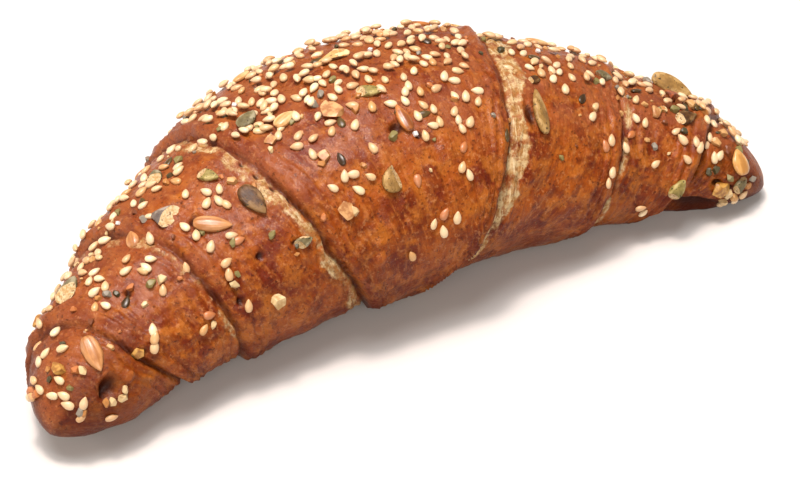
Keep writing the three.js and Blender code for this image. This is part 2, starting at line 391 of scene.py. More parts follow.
def lye_crust():
    """Lye crust under egg wash: a thin, hard, red-brown skin with a satin gloss, mottled, streaked along
    the rolled layers, cream where the dough tore open and darker at the tips. Painted shade darkens its
    grooves, holes, lower side and the hollow under the right tip, and a painted pinkish sheen lies over
    its upper front, top and back."""
    material, tree = new_material("lye_crust_egg_washed")
    here = add_node(tree, "ShaderNodeTexCoord", {}).outputs["Object"]
    place = add_node(tree, "ShaderNodeAttribute", {}, attribute_name="layer_place").outputs["Vector"]
    marks = {}
    for name in CRUST_MARKS:
        marks[name] = add_node(tree, "ShaderNodeAttribute", {}, attribute_name=name).outputs["Fac"]

    colour = lay_tones(tree, srgb("#632007"), [
        (here, 11, 6, 0.40, 0.62, 1.0, "#90450F"),
        (here, 5, 6, 0.46, 0.62, 0.6, "#AA6220"),
        (here, 3.6, 6, 0.50, 0.64, 0.5, "#521705"),
        (place, (1.8, 7, 1), 6, 0.50, 0.68, 0.45, "#B06A30"),
        (place, (1.3, 6, 1), 6, 0.52, 0.70, 0.4, "#4A1404"),
        # A painted pinkish sheen over the upper front.
        (here, 7, 5, 0.34, 0.56, marks["painted_front_sheen"], "#84462A"),
        # A painted pinkish sheen over the top and the back.
        (here, 6, 5, 0.20, 0.50, marks["painted_top_sheen"], "#84482C"),
        (here, 1.1, 4, 0.56, 0.66, 0.35, "#BC8050"),
        (here, 0.9, 3, 0.60, 0.68, 0.6, "#2E0D03"),
        # Darker baking at the tips, and painted shade on the lower side and under the right tip.
        (here, 8, 3, 0.10, 0.30, marks["bake_and_shade"], "#421003"),
    ], 0.63)
    # The torn dough: cream with darker pores and paler strands, its border eaten away by noise.
    torn_dough = lay_tones(tree, srgb("#9A6E3C"), [
        (here, 2.2, 6, 0.42, 0.60, 1.0, "#BFA478"),
        (here, 0.8, 3, 0.57, 0.67, 0.8, "#6E4420"),
        (place, (0.8, 7, 1), 4, 0.52, 0.64, 0.7, "#D0BC96"),
        (here, 3.0, 5, 0.52, 0.62, 0.75, "#8E5024"),
    ], 0.66)
    ragged = add_node(tree, "ShaderNodeTexNoise", {
        "Vector": here, "Scale": 1 / (4 * MM), "Detail": 5, "Roughness": 0.65,
    }).outputs["Fac"]
    raised = add_node(tree, "ShaderNodeMath", {0: ragged, 1: -0.5}, operation="ADD").outputs[0]
    torn = add_node(tree, "ShaderNodeMath", {
        0: raised, 1: 2.4, 2: marks["band"],
    }, operation="MULTIPLY_ADD").outputs[0]
    on_band = add_node(tree, "ShaderNodeMath", {
        0: marks["band"], 1: 6,
    }, operation="MULTIPLY", use_clamp=True).outputs[0]
    overlays = [
        (torn, 0.35, 0.85, on_band, torn_dough),
        (marks["blister"], 0.1, 0.7, 0.25, srgb("#B86A34")),
        # Painted shade in the groove under each lip.
        (marks["groove_shade"], 0.25, 0.95, 0.75, srgb("#3C1306")),
        # Painted shade in the holes and dents.
        (marks["hollow"], 0.1, 0.8, 0.88, srgb("#2E1008")),
    ]
    for mark, low, high, strength, tone in overlays:
        amount = add_node(tree, "ShaderNodeMapRange", {
            "Value": mark, "From Min": low, "From Max": high, "To Max": strength,
        }, interpolation_type="SMOOTHSTEP")
        colour = add_node(tree, "ShaderNodeMix", {
            MIX_FACTOR: amount.outputs["Result"], MIX_A: colour, MIX_B: tone,
        }, data_type="RGBA").outputs[MIX_RESULT]

    # Fine relief, too fine for the mesh: what it is drawn on, size in mm, detail, strength, depth in mm.
    skin_relief = [
        (here, (0.9, 0.9, 0.9), 4, 0.6, 0.3),
        (place, (0.9, 5, 1), 4, 0.7, 0.35),
        (here, (1.8, 1.8, 1.8), 5, 0.8, 0.5),
    ]
    relief = {}
    for source, size, detail, strength, depth in skin_relief:
        scaled = add_node(tree, "ShaderNodeMapping", {
            "Vector": source, "Scale": [1 / (mm * MM) for mm in size],
        })
        bumps = add_node(tree, "ShaderNodeTexNoise", {
            "Vector": scaled.outputs["Vector"], "Scale": 1, "Detail": detail, "Roughness": 0.6,
        })
        bump = add_node(tree, "ShaderNodeBump", {
            "Height": bumps.outputs["Fac"], "Strength": strength, "Distance": depth * MM, **relief,
        })
        relief = {"Normal": bump.outputs["Normal"]}
    wash_grain = add_node(tree, "ShaderNodeTexNoise", {
        "Vector": here, "Scale": 1 / (1.5 * MM), "Detail": 5, "Roughness": 0.7,
    })
    wash = add_node(tree, "ShaderNodeBump", {
        "Height": wash_grain.outputs["Fac"], "Strength": 0.9, "Distance": 0.2 * MM,
    })
    wear = add_node(tree, "ShaderNodeTexNoise", {
        "Vector": here, "Scale": 1 / (3 * MM), "Detail": 4,
    }).outputs["Fac"]
    rough = add_node(tree, "ShaderNodeMapRange", {
        "Value": wear, "From Min": 0.3, "From Max": 0.7, "To Min": 0.32, "To Max": 0.5,
    }).outputs["Result"]
    matte = add_node(tree, "ShaderNodeMath", {
        0: marks["band"], 1: 0.25, 2: rough,
    }, operation="MULTIPLY_ADD").outputs[0]
    shader = add_node(tree, "ShaderNodeBsdfPrincipled", {
        "Base Color": colour, "Roughness": matte, "Normal": relief["Normal"], "IOR": 1.45,
        "Specular IOR Level": 0.1, "Coat Weight": 0.25, "Coat Roughness": 0.12, "Coat IOR": 1.38,
        "Coat Normal": wash.outputs["Normal"],
    })
    add_node(tree, "ShaderNodeOutputMaterial", {"Surface": shader.outputs["BSDF"]})
    return material


dough = build_dough()
dough.data.materials.append(lye_crust())
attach(dough, "root")
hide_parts("baked_dough")

# ---------------------------------------------------------------- pumpkin seeds
# Hulled pumpkin seeds, whole and broken, pressed into the dough before it was baked. They are flat
# drops with a raised rim: a grey-green skin with a whitish film outside, cream flesh where broken.


def roll_place(point):
    """Where a point in mm lies on the roll: its place along and around."""
    plain = Vector(point) + BOX_CENTRE
    curl = 0.0
    for _ in range(3):
        turn = math.atan2(plain.x, plain.y + BEND_RADIUS + curl)
        curl = roll_section(turn * BEND_RADIUS)[4]
    along = turn * BEND_RADIUS
    _, _, height, spread, _ = roll_section(along)
    sideways = math.hypot(plain.x, plain.y + BEND_RADIUS + curl) - BEND_RADIUS
    return along, math.degrees(math.atan2(plain.z - height, -sideways / spread))


def crust_frame(along, around, turn=0.0, lean=0.0, lift=0.0):
    """A matrix in mm, standing on the crust: x along a seed, y across it, z out of the crust."""
    degrees = math.degrees(1.3 / (roll_section(along)[0] * GIRTH_SHARE))
    point = crust(along, around)[0]
    ahead = (crust(along + 1.3, around)[0] - crust(along - 1.3, around)[0]).normalized()
    across = (crust(along, around + degrees)[0] - crust(along, around - degrees)[0]).normalized()
    out = ahead.cross(across).normalized()
    across = out.cross(ahead)
    base = Matrix((ahead, across, out)).transposed().to_4x4()
    spin = Matrix.Rotation(math.radians(turn), 4, "Z") @ Matrix.Rotation(math.radians(lean), 4, "X")
    return Matrix.Translation(point + out * lift) @ base @ spin


UPRIGHT = 0.8  # a seed that lies this flat on the crust is also bedded into it
SUNK_SHARE = 0.45  # the part below the crust, as a share of the part above it


def seed_frame(node_name):
    """Where a packed seed lies: a matrix in mm on its middle, its length, width and thickness, and
    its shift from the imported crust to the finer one."""
    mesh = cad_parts[node_name].data
    places = np.array([vertex.co[:] for vertex in mesh.vertices]) / MM
    middle = places.mean(axis=0)
    axes = np.linalg.eigh(np.cov((places - middle).T))[1][:, ::-1].T
    spans = [float(np.ptp(places @ axis)) for axis in axes]
    middle = sum(axis * (np.max(places @ axis) + np.min(places @ axis)) / 2 for axis in axes)
    along, around = roll_place(middle)
    shift = crust(along, around)[0] - solid_point(along, around)
    core = solid_point(along, around) - roll_point(along, around, -10)
    length_axis, thickness_axis = Vector(axes[0]), Vector(axes[2])
    if length_axis.x < 0:
        length_axis = -length_axis
    if thickness_axis.dot(core) < 0:
        thickness_axis = -thickness_axis
    width_axis = thickness_axis.cross(length_axis)
    if thickness_axis.dot(core.normalized()) > UPRIGHT:
        sunk = SUNK_SHARE * spans[2]
        spans[2] += sunk
        middle = Vector(middle) - thickness_axis * sunk / 2
    turned = Matrix((length_axis, width_axis, thickness_axis)).transposed().to_4x4()
    return Matrix.Translation(Vector(middle) + shift) @ turned, spans


END_SHARPNESS = 0.15  # 0 leaves both ends of a drop round; more sharpens one and blunts the other


def drop_waist(x, pointed):
    """A drop's width at a place from -1 at its blunt end to 1 at its point."""
    return 1 - pointed * max(0, (x + 0.4) / 1.4) ** 1.6


def drop_shape(around_count, rings, pointed, flat_edge=1.0):
    """A drop two units long, its point towards +x."""
    bm = bmesh.new()
    bmesh.ops.create_uvsphere(bm, u_segments=around_count, v_segments=rings, radius=1)
    bmesh.ops.rotate(bm, verts=bm.verts, cent=(0, 0, 0), matrix=Matrix.Rotation(math.pi / 2, 3, "Y"))
    for vert in bm.verts:
        x, y, z = vert.co
        waist = drop_waist(x, pointed)
        waist *= max(1 - x * x, 0.01) ** math.copysign(END_SHARPNESS, x)
        height = math.copysign(abs(z) ** flat_edge, z)
        vert.co = (x, y * waist, height * (0.4 + 0.6 * waist))
    return bm


def snap_off(bm, angle, place, tilt, rough, draw):
    """Breaks a seed off along a plane and leaves a rough face, marked as flesh."""
    flesh = bm.faces.layers.float["flesh"]
    angle, tilt = math.radians(angle), math.radians(tilt)
    toward = Vector((math.cos(angle), math.sin(angle), math.tan(tilt))).normalized()
    everything = bm.verts[:] + bm.edges[:] + bm.faces[:]
    bmesh.ops.bisect_plane(bm, geom=everything, plane_co=toward * place, plane_no=toward, clear_outer=True)
    rim = [edge for edge in bm.edges if edge.is_boundary]
    for face in bmesh.ops.contextual_create(bm, geom=rim)["faces"]:
        face[flesh] = 1
        face.smooth = False
        inner = bmesh.ops.poke(bm, faces=[face])
        for vert in inner["verts"]:
            vert.co += toward * draw.uniform(-rough, rough * 0.3)
        for part in inner["faces"]:
            part[flesh] = 1


def finish_seed(bm, name, frame_matrix, spans, material):
    """Scales a unit shape to a seed's size, notes each point's place in the seed, sets it down."""
    place = bm.verts.layers.float_vector.new("seed_place")
    half = [span / 2 for span in spans]
    for vert in bm.verts:
        vert.co = Vector((vert.co.x * half[0], vert.co.y * half[1], vert.co.z * half[2]))
        vert[place] = vert.co * MM
    bmesh.ops.transform(bm, verts=bm.verts, matrix=Matrix.Scale(MM, 4) @ frame_matrix)
    bmesh.ops.triangulate(bm, faces=[face for face in bm.faces if len(face.verts) > 4])
    bmesh.ops.recalc_face_normals(bm, faces=bm.faces)
    piece = make_piece(bm, name)
    piece.data.materials.append(material)
    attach(piece, "root")
    return piece


def seed_material(name):
    """A new material, and each point's place in its own seed to draw its patterns on."""
    material, tree = new_material(name)
    place = add_node(tree, "ShaderNodeAttribute", {}, attribute_name="seed_place").outputs["Vector"]
    return material, tree, place


def pumpkin_skin(name, skin, mottle, film):
    """Roasted pumpkin seed: papery grey-green skin, satin under egg wash, dull film in patches.
    Broken faces show dry cream flesh that yellows towards the skin."""
    material, tree, place = seed_material("roasted_pumpkin_seed_" + name)
    flesh = add_node(tree, "ShaderNodeAttribute", {}, attribute_name="flesh").outputs["Fac"]

    outside = lay_tones(tree, srgb(skin), [
        (place, 1.6, 3, 0.35, 0.60, 1.0, mottle),
        (place, 2.4, 3, 0.50, 0.62, 1.0, film),
        (place, 0.7, 3, 0.60, 0.68, 1.0, "#2E2413"),
    ])
    inside = lay_tones(tree, srgb("#A88452"), [
        (place, 0.9, 3, 0.35, 0.60, 1.0, "#C4AC84"),
        (place, 0.8, 3, 0.56, 0.66, 1.0, "#76562E"),
    ])
    colour = add_node(tree, "ShaderNodeMix", {
        MIX_FACTOR: flesh, MIX_A: outside, MIX_B: inside,
    }, data_type="RGBA").outputs[MIX_RESULT]
    veins = add_node(tree, "ShaderNodeMapping", {
        "Vector": place, "Scale": (1 / (3 * MM), 1 / (0.6 * MM), 1 / (0.6 * MM)),
    }).outputs["Vector"]
    creases = add_node(tree, "ShaderNodeTexNoise", {
        "Vector": veins, "Scale": 1, "Detail": 3,
    }).outputs["Fac"]
    bump = add_node(tree, "ShaderNodeBump", {"Height": creases, "Strength": 0.9, "Distance": 0.4 * MM})
    shader = add_node(tree, "ShaderNodeBsdfPrincipled", {
        "Base Color": colour, "Roughness": 0.5, "Normal": bump.outputs["Normal"], "IOR": 1.45,
        "Specular IOR Level": 0.3, "Coat Weight": 0.06, "Coat Roughness": 0.3,
    })
    add_node(tree, "ShaderNodeOutputMaterial", {"Surface": shader.outputs["BSDF"]})
    return material


PUMPKIN_SKINS = {
    "grey_green": pumpkin_skin("grey_green", "#5A4F34", "#736746", "#948A6E"),
    "slate": pumpkin_skin("slate", "#544842", "#6A5C52", "#9A8A7C"),
    "olive_tan": pumpkin_skin("olive_tan", "#7A5A2C", "#94703A", "#AC8A56"),
    "dark": pumpkin_skin("dark", "#3A200C", "#5A3A1A", "#7A5A34"),
    "yellow_green": pumpkin_skin("yellow_green", "#746430", "#8E7D42", "#AC9A62"),
    "cream": pumpkin_skin("cream", "#C7A468", "#B98048", "#DCC492"),
}
# The seeds in order: skin, and each of its breaks: direction in the seed's plane, distance from its
# middle in half sizes, and slant.
PUMPKIN_SEEDS = [
    ("grey_green", [(205, 0.35, 30)]),
    ("slate", [(-40, 0.3, 30), (85, 0.6, -8), (188, 0.55, -8)]),
    ("dark", []),
    ("grey_green", [(180, 0.5, 35), (60, 0.8, 20)]),
    ("yellow_green", [(180, 0.6, 30)]),
    ("grey_green", [(10, 0.7, -25), (80, 0.75, -25), (150, 0.7, -25), (225, 0.7, -30), (300, 0.65, -30)]),
    ("cream", [(20, 0.6, -15), (140, 0.55, 20), (265, 0.5, -20)]),
    ("yellow_green", [(0, 0.7, 20), (190, 0.6, 20)]),
    ("olive_tan", [(-60, 0.4, 20)]),
    ("cream", [(0, 0.75, 15)]),
    ("olive_tan", []),
    ("dark", [(0, 0.7, 20), (180, 0.7, 10)]),
    ("grey_green", [(30, 0.7, 20), (200, 0.75, -20)]),
    ("olive_tan", []),
    ("dark", [(40, 0.6, -20), (180, 0.7, 20)]),
    ("yellow_green", [(180, 0.75, 20)]),
    ("grey_green", [(30, 0.7, 15), (160, 0.75, 15), (270, 0.7, 10)]),
    ("grey_green", [(200, 0.5, 20), (60, 0.75, 20)]),
    ("olive_tan", [(190, 0.5, 20)]),
    ("grey_green", []),
    ("slate", [(20, 0.5, 20)]),
]
RIM_WIDTH, RIM_HEIGHT = 0.16, 0.22  # shares of the seed's half size
PUMPKIN_POINT = 0.42  # how much narrower the seed gets towards its point

for number, (skin, breaks) in enumerate(PUMPKIN_SEEDS, 1):
    name = f"pumpkin_seed_{number:02}"
    draw = random.Random(name)
    matrix, spans = seed_frame(name)
    bm = drop_shape(36, 22, PUMPKIN_POINT, 0.8)
    for vert in bm.verts:
        reach = min(math.hypot(vert.co.x, vert.co.y / drop_waist(vert.co.x, PUMPKIN_POINT)), 1)
        dish = smoothstep(reach, 1 - 2.2 * RIM_WIDTH, 1 - RIM_WIDTH)
        shift = len(name) + draw.random() * 0.05
        swelling = 0.06 * noise_at(vert.co.x * 1.7, vert.co.y * 1.7, vert.co.z + shift)
        vert.co.z *= 1 - RIM_HEIGHT * (1 - dish) * 0.6 + swelling * 2
    for face in bm.faces:
        face.smooth = True
    bm.faces.layers.float.new("flesh")
    for angle, distance, slant in breaks:
        snap_off(bm, angle, distance, slant, 0.12, draw)
    piece = finish_seed(bm, "roasted_" + name, matrix, spans, PUMPKIN_SKINS[skin])
    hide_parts(name)

# ---------------------------------------------------------------- sunflower kernels
# Shelled sunflower kernels: pointed drops, a little ribbed along their length, baked to orange tan
# under the egg wash and held in the crust.


def kernel_skin(name, light, dark):
    """Roasted kernel: thin tan skin, satin, ribbed along its length and browner towards the point."""
    material, tree, place = seed_material("roasted_sunflower_kernel_" + name)
    ribbed = add_node(tree, "ShaderNodeMapping", {
        "Vector": place, "Scale": (1 / (5 * MM), 1 / (0.8 * MM), 1 / (0.8 * MM)),
    }).outputs["Vector"]
    ribs = add_node(tree, "ShaderNodeTexNoise", {"Vector": ribbed, "Scale": 1, "Detail": 3}).outputs["Fac"]
    patches = add_node(tree, "ShaderNodeTexNoise", {
        "Vector": place, "Scale": 1 / (2.5 * MM), "Detail": 4,
    }).outputs["Fac"]
    both = add_node(tree, "ShaderNodeMath", {0: ribs, 1: patches}, operation="ADD").outputs[0]
    share = add_node(tree, "ShaderNodeMapRange", {
        "Value": both, "From Min": 0.8, "From Max": 1.2,
    }, interpolation_type="SMOOTHSTEP").outputs["Result"]
    colour = add_node(tree, "ShaderNodeMix", {
        MIX_FACTOR: share, MIX_A: srgb(dark), MIX_B: srgb(light),
    }, data_type="RGBA").outputs[MIX_RESULT]
    bump = add_node(tree, "ShaderNodeBump", {"Height": ribs, "Strength": 0.5, "Distance": 0.2 * MM})
    shader = add_node(tree, "ShaderNodeBsdfPrincipled", {
        "Base Color": colour, "Roughness": 0.36, "Normal": bump.outputs["Normal"], "IOR": 1.45,
        "Coat Weight": 0.3, "Coat Roughness": 0.2,
    })
    add_node(tree, "ShaderNodeOutputMaterial", {"Surface": shader.outputs["BSDF"]})
    return material


KERNEL_SKINS = {
    "orange_tan": kernel_skin("orange_tan", "#BC8452", "#9C6436"),
    "pale": kernel_skin("pale", "#D8B07C", "#BC8850"),
    "brown": kernel_skin("brown", "#B9743C", "#7E4318"),
    "yellow": kernel_skin("yellow", "#CC9856", "#AE783A"),
}
SUNFLOWER_KERNELS = [  # in order
    "orange_tan", "orange_tan", "orange_tan", "pale", "brown", "brown", "pale", "brown", "yellow",
    "pale", "orange_tan", "pale", "orange_tan",
]
RIB_COUNT, RIB_DEPTH = 9, 0.035
KERNEL_FULLNESS = 1.14  # a kernel's width over its packed width

for number, skin in enumerate(SUNFLOWER_KERNELS, 1):
    name = f"sunflower_kernel_{number:02}"
    draw = random.Random(name)
    matrix, spans = seed_frame(name)
    spans[1] *= KERNEL_FULLNESS
    bm = drop_shape(32, 18, 0.4, 0.9)
    for vert in bm.verts:
        ribs = math.cos(RIB_COUNT * math.atan2(vert.co.z, vert.co.y))
        shift = draw.random() * 0.02
        lumps = noise_at(vert.co.x * 1.5, vert.co.y * 1.5, vert.co.z * 1.5 + shift)
        size = 1 + RIB_DEPTH * ribs + 0.05 * lumps
        vert.co.y *= size
        vert.co.z *= size
        vert.co.z += 0.12 * vert.co.x * vert.co.x
    for face in bm.faces:
        face.smooth = True
    piece = finish_seed(bm, "roasted_" + name, matrix, spans, KERNEL_SKINS[skin])
    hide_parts(name)

# ---------------------------------------------------------------- nut pieces
# Chopped nuts and large seed fragments: blocky chips with flat broken faces and worn edges, from
# cream to reddish brown, sunk into the glaze.


def chopped(name, light, dark, gloss):
    """Chopped nut: dry, faintly porous broken flesh with darker spots of skin."""
    material, tree, place = seed_material("chopped_nut_" + name)
    colour = lay_tones(tree, srgb(dark), [(place, 1.4, 4, 0.38, 0.62, 1.0, light)])
    grain = add_node(tree, "ShaderNodeTexNoise", {
        "Vector": place, "Scale": 1 / (0.5 * MM), "Detail": 3,
    }).outputs["Fac"]
    bump = add_node(tree, "ShaderNodeBump", {"Height": grain, "Strength": 0.5, "Distance": 0.15 * MM})
    shader = add_node(tree, "ShaderNodeBsdfPrincipled", {
        "Base Color": colour, "Roughness": gloss, "Normal": bump.outputs["Normal"], "IOR": 1.45,
        "Coat Weight": 0.12, "Coat Roughness": 0.25,
    })
    add_node(tree, "ShaderNodeOutputMaterial", {"Surface": shader.outputs["BSDF"]})
    return material


NUT_FLESH = {
    "tan": chopped("tan", "#C0905C", "#986234", 0.45),
    "cream": chopped("cream", "#C8AC7C", "#A88450", 0.5),
    "red_brown": chopped("red_brown", "#A4562C", "#6B2C12", 0.4),
    "yellow": chopped("yellow", "#BE8F46", "#8E5C22", 0.45),
}
NUT_PIECES = [  # in order
    "tan", "red_brown", "red_brown", "yellow", "cream", "tan", "tan", "tan", "tan", "yellow", "yellow",
    "cream", "tan", "yellow",
]


def chip_shape(draw, cuts, detail=2, worn=0.06):
    """A chip two units across: a ball cut by random planes, with its edges worn round."""
    bm = bmesh.new()
    bmesh.ops.create_icosphere(bm, subdivisions=detail, radius=1.25)
    slices = []
    for number in range(cuts):
        angle = math.tau * (number + draw.uniform(-0.25, 0.25)) / cuts
        toward = Vector((math.cos(angle), math.sin(angle), draw.uniform(-0.4, 0.4))).normalized()
        slices.append((toward, draw.uniform(0.45, 0.9)))
    for side in (1, -1):
        toward = Vector((draw.uniform(-0.25, 0.25), draw.uniform(-0.25, 0.25), side)).normalized()
        slices.append((toward, 0.85))
    for toward, distance in slices:
        everything = bm.verts[:] + bm.edges[:] + bm.faces[:]
        bmesh.ops.bisect_plane(
            bm, geom=everything, plane_co=toward * distance, plane_no=toward, clear_outer=True,
        )
        bmesh.ops.contextual_create(bm, geom=[edge for edge in bm.edges if edge.is_boundary])
    if worn:
        sharp = [edge for edge in bm.edges if len(edge.link_faces) == 2 and edge.calc_face_angle() > 0.5]
        bmesh.ops.bevel(bm, geom=sharp, offset=worn, offset_type="OFFSET", segments=2, profile=0.5,
                        affect="EDGES", material=-1, clamp_overlap=True)
    for vert in bm.verts:
        vert.co *= 1 + 0.08 * noise_at(vert.co.x * 2, vert.co.y * 2, vert.co.z * 2 + cuts)
    reach = [max(abs(vert.co[axis]) for vert in bm.verts) for axis in range(3)]
    for vert in bm.verts:
        vert.co = [vert.co[axis] / reach[axis] for axis in range(3)]
    return bm


for number, flesh in enumerate(NUT_PIECES, 1):
    name = f"nut_piece_{number:02}"
    draw = random.Random(name)
    matrix, spans = seed_frame(name)
    bm = chip_shape(draw, draw.randint(3, 5))
    piece = finish_seed(bm, "chopped_" + name, matrix, spans, NUT_FLESH[flesh])
    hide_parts(name)

# ---------------------------------------------------------------- sesame seeds
# Several hundred hulled white sesame seeds, each a flat drop about 3 mm long. They were pressed
# onto the wet glaze: densest over the top, a few on the front, and stuck down by it.

SESAME_SIZE = (3.1, 2.0, 1.4)  # length, width and thickness in mm
# Seeds set one by one on the left: along, around, and turn of the long axis.
SESAME_TURNED = [
    (-52.5, 103, 115), (-49, 109, 0), (-50, 106, -10), (-54.3, 92, 60), (-51, 85, 95), (-48.5, 81, 55),
    (-53, 80, 30), (-50.5, 77, 80), (-50, 73, 90), (-55, 58, -35), (-60.5, 61, 35), (-60.5, 71, 50),
    (-60.8, 79, 90), (-62.8, 99, -45), (-66.5, 92, 45), (-60.5, 110, -30), (-60.5, 118, 50),
    (-59.5, 135, 20), (-57.5, 118, -20), (-55, 124, -35), (-55, 116, -60), (-56, 109, -40),
    (-53, 128, 25), (-65.5, 140, 30), (-68, 148, 10), (-71, 134, -15), (-70, 124, -50),
    (-73.3, 122, 65), (-75.8, 127, 80), (-77.5, 128, 10), (-75, 116, 70), (-73.5, 95, 20),
    (-70.8, 82, -45), (-73, 81, 80), (-74, 81, 100), (-76, 90, -40), (-78.8, 111, -45),
    (-81.5, 109, 25), (-80.5, 102, -60), (-83.5, 100, -25), (-81.5, 95, 30), (-74.5, 62, 60),
    (-60.5, 49, -5), (-61.5, 43, 55), (-66.8, 62, 70), (-86.5, 93, 10), (-85.5, 86, 95), (-94, 118, 0),
    (-98.5, 122, -20), (-97.5, 100, -35), (-103, 140, 30), (-103.2, 90, 80), (-105, 122, 60),
    (-105, 75, 100), (-105.7, 95, 80), (-105.9, 60, 100), (-104, 40, 30), (-101, -5, 0),
    (-85.5, 36, 60), (-84.5, 42, 50), (-83.5, 47, 40), (-73, 22, 10), (-105.4, 150, 30), (-61, 20, 60),
    (-105.6, 20, 20), (-104.8, 165, 50), (-64, 128, 20), (-67, 122, 80), (-79, 140, 15), (-84, 146, 40),
    (-88, 140, 70), (-92, 138, 10), (-47, 130, 30), (-44, 122, 70), (-50, 136, 10), (-43, 112, 20),
]
# Seeds set one by one on the rest of the front: along and around.
SESAME_PLACES = [
    (-27, 66), (-28, 49), (-23.5, 51), (-21.5, 50), (-22, 43), (-39, 105), (-36, 104), (-40.5, 113),
    (-32.5, 113), (-33.5, 95), (-30, 82), (-29.5, 101), (-27, 97), (-23.5, 85), (-20, 93), (-24.5, 100),
    (-22.5, 97), (-22, 103), (-24, 107), (-27, 107), (-13.5, 68), (-19.5, 70), (-13.5, 84), (-11, 86),
    (-13, 56), (-17.5, 46), (-4, 15), (-1.5, 10), (3.5, 15), (-12.5, 3), (9, 36), (10.5, 32), (2.5, 53),
    (5.5, 56), (8, 57), (6, 66), (8, 63), (3, 62), (13.5, 60), (13.5, 56), (13.5, 52), (16.5, 54),
    (18.5, 66), (15.5, 67), (22.5, 68), (21.5, 63), (0.5, 82), (-3, 85), (-7, 72), (5.5, 81), (9, 83),
    (6, 90), (12.5, 86), (15, 86), (15.5, 77), (5, 76), (3.5, 74), (2, 70), (7, 72), (9, 97),
    (4.5, 100), (11, 96), (13.5, 97), (43.5, 82), (47, 87), (46.5, 80), (52, 84), (49, 74), (55, 58),
    (56.5, 65), (59.5, 44), (58.5, 23), (57, 16), (68, 64), (70.5, 62), (72.5, 30), (68.5, -12),
    (64, 40), (80.5, 54), (84, 54), (84.5, 50), (79, 60), (88, 60), (89.5, 45), (91, 50), (81.5, 38),
    (69, 80), (49.5, 94), (53, 95), (60.5, 88), (98, -12), (96, -24), (92.5, -33), (85, 108), (77, 104),
    (78, 92), (73.5, 110), (69.5, -18), (88.7, 70),
]
# Seeds that the glaze ran over, so that they are brown.
SESAME_GLAZED = [(-54.5, 54), (-5, 36), (0, 18), (57.5, 40), (-70, 28), (12, 44), (66, 50)]
# Sprinkled zones: along from and to, around from and to, seeds, share that lies on others.
SESAME_ZONES = [
    (-37, 28, 86, 150, 175, 0.35),
    (-100, -40, 118, 152, 16, 0.1),
    (33, 98, 84, 150, 95, 0.2),
    (-30, 24, 70, 90, 16, 0.0),
    (-96, 92, 150, 205, 90, 0.05),
]
SESAME_GAP, STACKED_GAP = 2.3, 1.1  # least distance between two seeds on the crust, and on others
SESAME_RISE = 0.3  # height of a seed's middle over the crust, over its thickness
LARGE_SEED_SHARE = 0.36  # room kept round a large seed, over its diagonal


sesame_draw = random.Random(5)
large_seeds = []
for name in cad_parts:
    if name != "baked_dough":
        low, high = (Vector(corner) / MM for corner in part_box(name))
        large_seeds.append(((low + high) / 2, LARGE_SEED_SHARE * (high - low).length))
sesame_spots = []  # along, around, turn, lift, glaze
sesame_points = []


def is_free(point, gap):
    clear = all((point - other).length > size for other, size in large_seeds)
    return clear and all((point - other).length > gap for other in sesame_points)


for along, around, turn in SESAME_TURNED:
    sesame_spots.append((along, around, turn + sesame_draw.gauss(0, 8), 0, sesame_draw.uniform(0, 0.25)))
    sesame_points.append(solid_point(along, around))
for along, around in SESAME_PLACES:
    sesame_spots.append((along, around, sesame_draw.gauss(85, 32), 0, sesame_draw.uniform(0, 0.25)))
    sesame_points.append(solid_point(along, around))
for along, around in SESAME_GLAZED:
    sesame_spots.append((along, around, sesame_draw.uniform(0, 360), -0.35, 0.85))
    sesame_points.append(solid_point(along, around))
for start, end, front, back, count, stacked in SESAME_ZONES:
    for _ in range(count):
        for attempt in range(40):
            along, around = sesame_draw.uniform(start, end), sesame_draw.uniform(front, back)
            on_top = sesame_draw.random() < stacked
            point = solid_point(along, around)
            if is_free(point, STACKED_GAP if on_top else SESAME_GAP):
                lift = sesame_draw.uniform(0.6, 1.0) if on_top else sesame_draw.uniform(-0.15, 0.15)
                turn = sesame_draw.uniform(0, 360)
                sesame_spots.append((along, around, turn, lift, sesame_draw.uniform(0, 0.35)))
                sesame_points.append(point)
                break


def scatter(name, spots, templates, material):
    """Joins copies of small template meshes into one piece. Each spot is a matrix in mm, a template's
    number, and the values of the piece's own attributes."""
    bm = bmesh.new()
    counts = []
    for matrix, number, _ in spots:
        copy = templates[number].copy()
        copy.transform(Matrix.Scale(MM, 4) @ matrix)
        bm.from_mesh(copy)
        counts.append(len(copy.vertices))
        bpy.data.meshes.remove(copy)
    piece = make_piece(bm, name)
    for key in spots[0][2]:
        values = np.repeat([spot[2][key] for spot in spots], counts)
        piece.data.attributes.new(key, "FLOAT", "POINT").data.foreach_set("value", values)
    piece.data.materials.append(material)
    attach(piece, "root")
    return piece


def as_mesh(bm, name, sizes, smooth):
    """A template of a given size in mm, kept as a mesh, with each point's place in it."""
    place = bm.verts.layers.float_vector.new("seed_place")
    for vert in bm.verts:
        vert.co = Vector((vert.co.x * sizes[0] / 2, vert.co.y * sizes[1] / 2, vert.co.z * sizes[2] / 2))
        vert[place] = vert.co * MM
    for face in bm.faces:
        face.smooth = smooth
    bmesh.ops.triangulate(bm, faces=[face for face in bm.faces if len(face.verts) > 4])
    bmesh.ops.recalc_face_normals(bm, faces=bm.faces)
    mesh = bpy.data.meshes.new(name)
    bm.to_mesh(mesh)
    bm.free()
    return mesh


